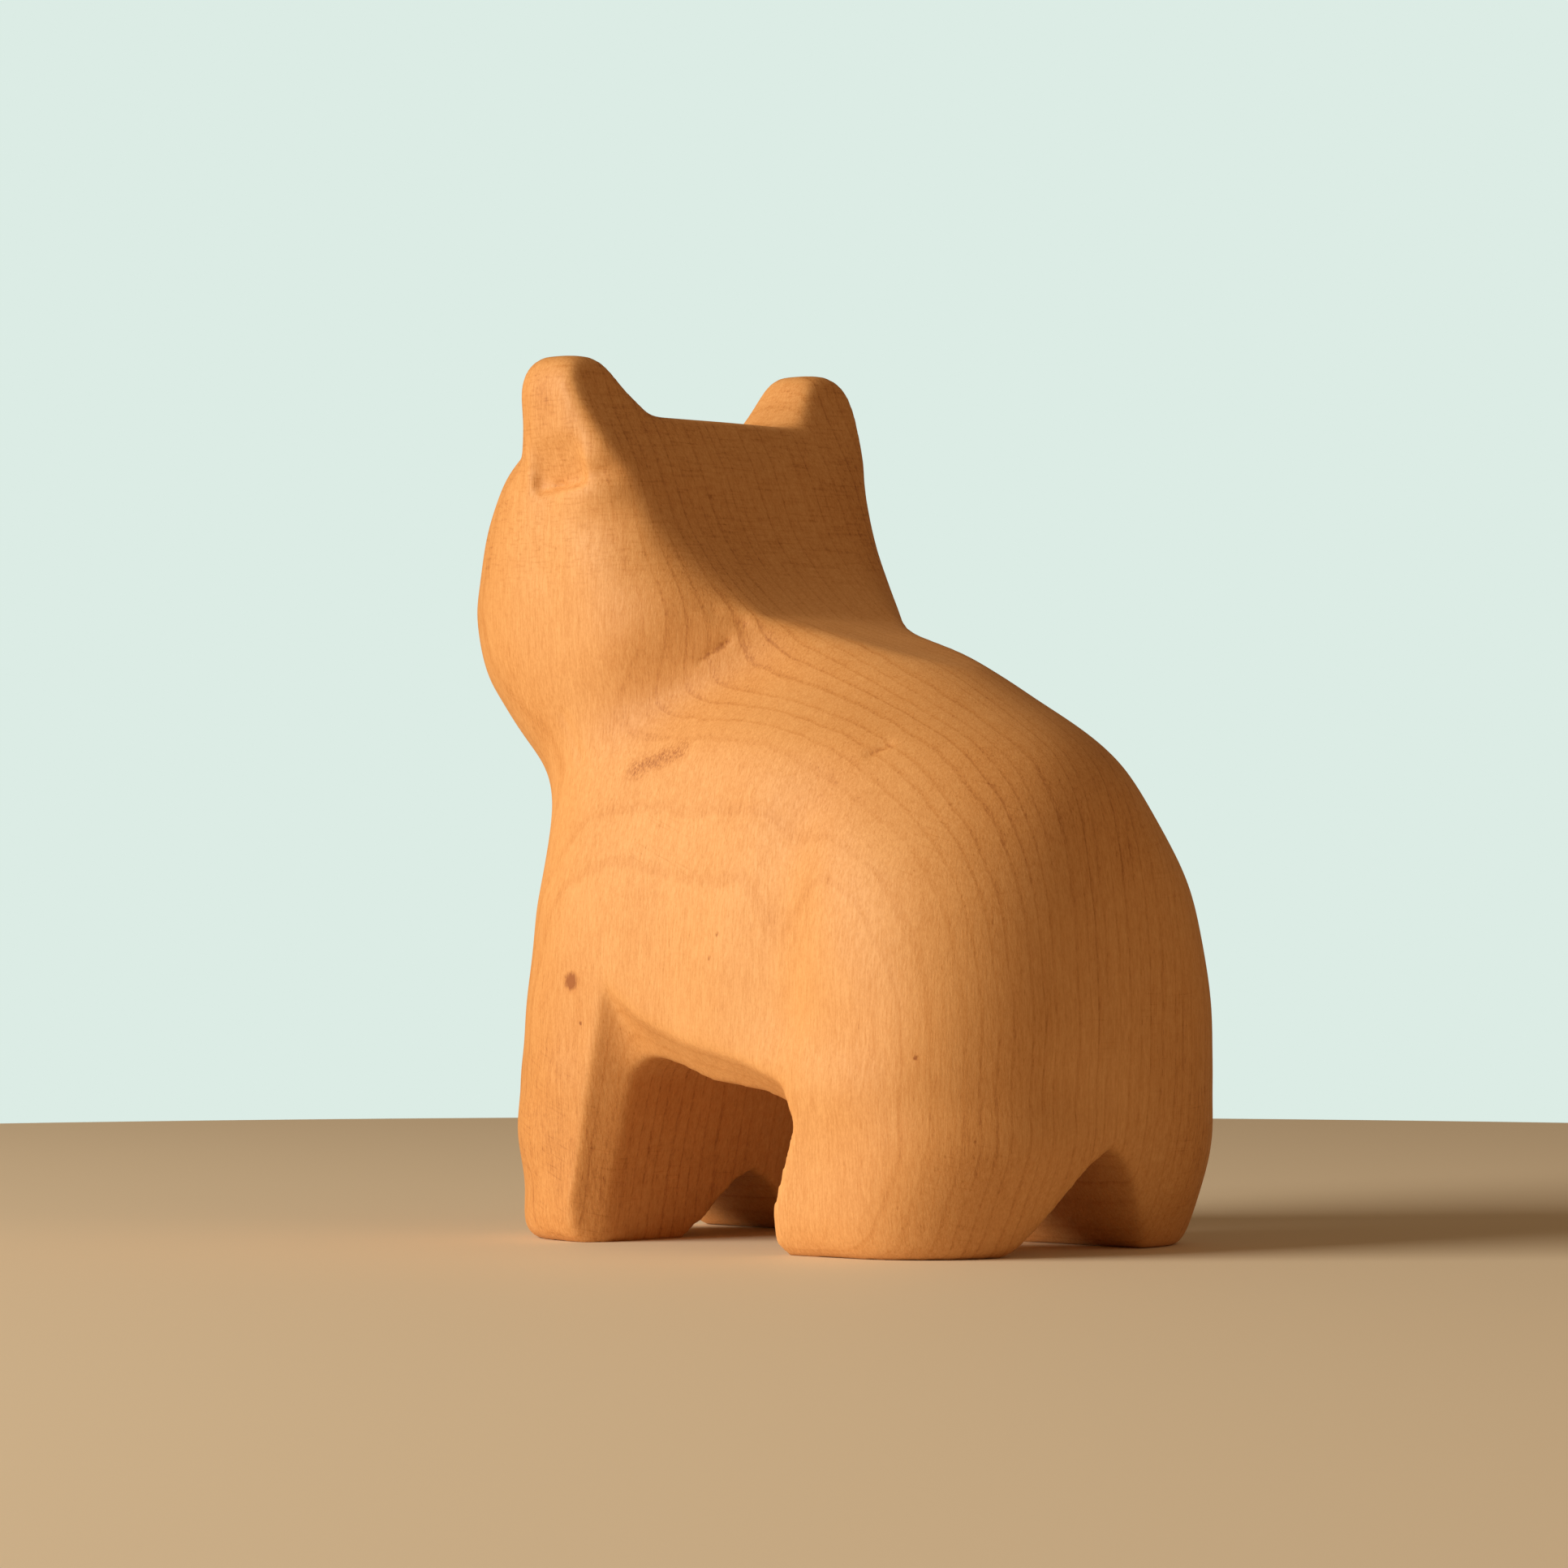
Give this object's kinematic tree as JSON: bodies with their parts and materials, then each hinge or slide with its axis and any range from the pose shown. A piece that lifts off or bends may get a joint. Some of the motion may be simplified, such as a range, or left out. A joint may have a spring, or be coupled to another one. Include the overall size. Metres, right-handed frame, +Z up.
{
  "type": "carved wooden bear figurine",
  "caption": "Chunky standing bear cub whittled from one block of pale wood, with an archway under the belly, blocky legs, upright ears and inset dark eyes and nose.",
  "frame": {"origin": "on the plane of the soles, below the middle of the bear's length and width", "axes": "+Z up, -Y the way the face looks, +X the bear's left side"},
  "size_m": [0.063, 0.1106, 0.12],
  "materials": {
    "body_wood": "hand-carved close-grained pale hardwood with a thin coat of oil, satin, grain upright",
    "dark_wood": "dark hardwood pegs, oiled and rubbed smooth"
  },
  "bodies": {
    "root": {"carved_body": "body_wood", "left_eye_peg": "dark_wood", "right_eye_peg": "dark_wood", "nose_peg": "dark_wood"}
  },
  "joints": []
}
